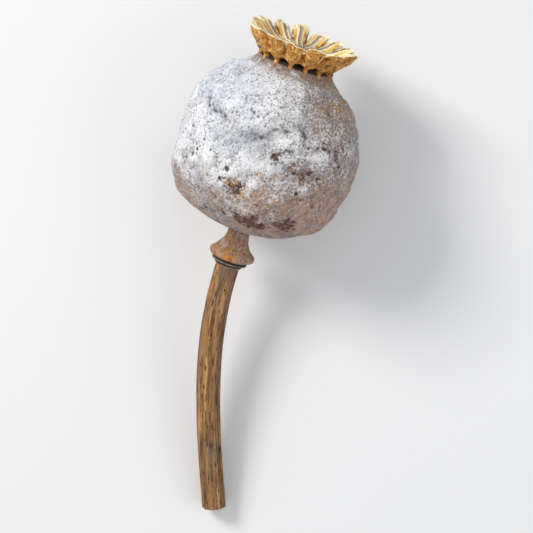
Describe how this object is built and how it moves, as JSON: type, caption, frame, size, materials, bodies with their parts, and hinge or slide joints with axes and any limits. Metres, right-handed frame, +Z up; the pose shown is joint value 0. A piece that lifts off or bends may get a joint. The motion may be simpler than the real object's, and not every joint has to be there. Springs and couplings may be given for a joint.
{
  "type": "poppy seed head",
  "caption": "Dried poppy seed head: round withered capsule with a scalloped crown, a ringed receptacle and a length of cut stem, lying on its side.",
  "frame": {"origin": "on the surface that the part lies on, in the middle of the flat spot under the capsule", "axes": "+Z up from the surface; +Y along the part, from the cut end of the stem towards the crown; +X to the side that the head leans to"},
  "size_m": [0.0468, 0.1278, 0.0452],
  "materials": {
    "crown_straw": "dry, matt straw gold with grey-brown rays",
    "capsule_bloom": "matt, withered, grey-white waxy bloom over brown",
    "receptacle_brown": "matt dull brown with a pale ring scar",
    "stem_tan": "matt, fibrous tan with darker streaks"
  },
  "bodies": {
    "root": {"crown": "crown_straw", "capsule": "capsule_bloom", "receptacle": "receptacle_brown", "stem": "stem_tan"}
  },
  "joints": []
}
